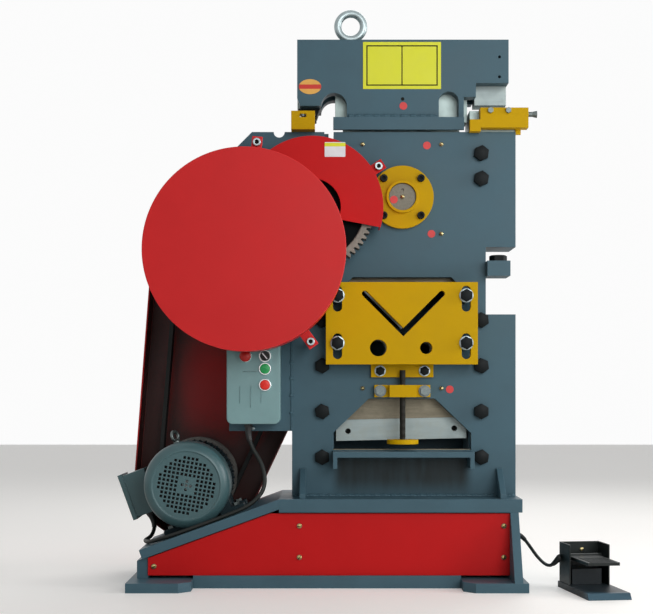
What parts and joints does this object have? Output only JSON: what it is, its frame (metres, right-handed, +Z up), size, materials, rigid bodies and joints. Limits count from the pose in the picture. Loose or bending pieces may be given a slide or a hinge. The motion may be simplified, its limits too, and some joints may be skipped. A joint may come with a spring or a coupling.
{
  "type": "mechanical ironworker machine",
  "caption": "Geared mechanical ironworker with flywheel drive, one ram that punches, notches, cuts sections and shears plate, a sloped motor base, push-button box and foot pedal.",
  "frame": {"origin": "on the floor under the middle of the whole machine, pedal included", "axes": "+X to the operator's right, +Y away from the operator, +Z up"},
  "size_m": [1.3416, 0.6836, 1.575],
  "materials": {
    "machine_paint": "satin enamel, light wear at the edges",
    "red_paint": "satin enamel",
    "yellow_paint": "satin enamel, worn",
    "bright_steel": "machined",
    "dark_cast_iron": "machined and oiled",
    "black_oxide": "black oxide",
    "zinc_plate": "zinc plated",
    "bearing_bronze": "turned",
    "motor_paint": "satin enamel",
    "box_paint": "powder coat",
    "black_paint": "satin enamel",
    "black_plastic": "matte",
    "black_rubber": "matte",
    "red_plastic": "gloss",
    "green_plastic": "gloss"
  },
  "bodies": {
    "machine": {"base_frame": "machine_paint", "feet": "machine_paint", "front_plate": "machine_paint", "rear_plate": "machine_paint", "frame_spacers": "machine_paint", "drive_bracket": "machine_paint", "shaft_housings": "machine_paint", "guard_stays": "machine_paint", "support_table": "machine_paint", "throat_stop": "machine_paint", "base_panels": "red_paint", "flywheel_guard": "red_paint", "gear_guard": "red_paint", "belt_guard": "red_paint", "main_gear_guard": "red_paint", "bearing_flange": "yellow_paint", "hold_down_brackets": "yellow_paint", "punch_gauge": "yellow_paint", "notch_table": "yellow_paint", "lower_tools": "bright_steel", "black_bolts": "black_oxide", "zinc_fasteners": "zinc_plate", "button_bezels": "zinc_plate", "bronze_bearings": "bearing_bronze", "grease_nipples": "bearing_bronze", "motor_frame": "motor_paint", "motor_cowl": "motor_paint", "motor_terminal_box": "motor_paint", "control_box": "box_paint", "control_cover": "box_paint", "pedal_base": "black_paint", "pedal_hood": "black_paint", "cable_glands": "black_plastic", "v_belts": "black_rubber", "pedal_cable": "black_rubber", "motor_cable": "black_rubber"},
    "ram": {"ram": "bright_steel", "head_cheeks": "machine_paint", "ram_blades": "bright_steel", "punch": "black_oxide", "head_eye_bolt": "zinc_plate"},
    "eccentric": {"eccentric_shaft": "bright_steel", "eccentric_ring": "bearing_bronze"},
    "flywheel": {"flywheel": "dark_cast_iron", "pinion_shaft": "bright_steel", "belt_pulley": "dark_cast_iron"},
    "layshaft": {"front_gear": "dark_cast_iron", "second_pinion_shaft": "bright_steel"},
    "main_gear": {"main_gear": "dark_cast_iron"},
    "motor_rotor": {"motor_shaft": "bright_steel", "motor_fan": "black_plastic", "motor_pulley": "dark_cast_iron"},
    "section_plate": {"section_plate": "yellow_paint"},
    "hold_down": {"hold_down_screw": "black_oxide", "hold_down_foot": "yellow_paint"},
    "treadle": {"pedal_treadle": "black_paint"},
    "green_button": {"green_button": "green_plastic"},
    "red_button": {"red_button": "red_plastic"},
    "estop_button": {"estop_button": "red_plastic"},
    "selector": {"selector_switch": "black_plastic"}
  },
  "joints": [
    {"name": "ram_slide", "type": "slide", "parent": "machine", "child": "ram", "axis": [0, 0, -1], "range_m": [0, 0.03]},
    {"name": "eccentric_turn", "type": "hinge", "parent": "machine", "child": "eccentric", "pos_m": [0.11358, 0.06377, 1.046], "axis": [0, 1, 0], "range_deg": [0, 180]},
    {"name": "flywheel_spin", "type": "hinge", "parent": "machine", "child": "flywheel", "pos_m": [-0.30346, 0.06377, 0.88563], "axis": [0, 1, 0], "continuous": true},
    {"name": "layshaft_spin", "type": "hinge", "parent": "machine", "child": "layshaft", "pos_m": [-0.1294, 0.06377, 1.00752], "axis": [0, 1, 0], "continuous": true},
    {"name": "main_gear_spin", "type": "hinge", "parent": "machine", "child": "main_gear", "pos_m": [0.11358, 0.18777, 1.046], "axis": [0, 1, 0], "continuous": true},
    {"name": "motor_spin", "type": "hinge", "parent": "machine", "child": "motor_rotor", "pos_m": [-0.46605, 0.11177, 0.26902], "axis": [0, 1, 0], "continuous": true},
    {"name": "section_plate_slide", "type": "slide", "parent": "machine", "child": "section_plate", "axis": [0, 0, 1], "range_m": [-0.012, 0.028]},
    {"name": "hold_down_slide", "type": "slide", "parent": "machine", "child": "hold_down", "axis": [0, 0, 1], "range_m": [-0.016, 0.1]},
    {"name": "treadle_press", "type": "hinge", "parent": "machine", "child": "treadle", "pos_m": [0.58561, -0.12206, 0.084], "axis": [0.9903, 0.1392, 0], "range_deg": [0, 10], "stiffness_Nm_per_rad": 4, "springref_deg": -22.92},
    {"name": "green_press", "type": "slide", "parent": "machine", "child": "green_button", "axis": [0, 1, 0], "range_m": [0, 0.004], "stiffness_N_per_m": 400, "springref_m": -0.002},
    {"name": "red_press", "type": "slide", "parent": "machine", "child": "red_button", "axis": [0, 1, 0], "range_m": [0, 0.004], "stiffness_N_per_m": 400, "springref_m": -0.002},
    {"name": "estop_press", "type": "slide", "parent": "machine", "child": "estop_button", "axis": [0, 1, 0], "range_m": [0, 0.004], "stiffness_N_per_m": 600, "springref_m": -0.002},
    {"name": "selector_turn", "type": "hinge", "parent": "machine", "child": "selector", "pos_m": [-0.25542, -0.10323, 0.614], "axis": [0, 1, 0], "range_deg": [-45, 45]}
  ],
  "couplings": [
    {"joint": "eccentric_turn", "follows": "ram_slide", "rad_per_m": 104.72},
    {"joint": "layshaft_spin", "follows": "flywheel_spin", "ratio": -0.32812},
    {"joint": "main_gear_spin", "follows": "flywheel_spin", "ratio": 0.092285},
    {"joint": "motor_spin", "follows": "flywheel_spin", "ratio": 2}
  ]
}
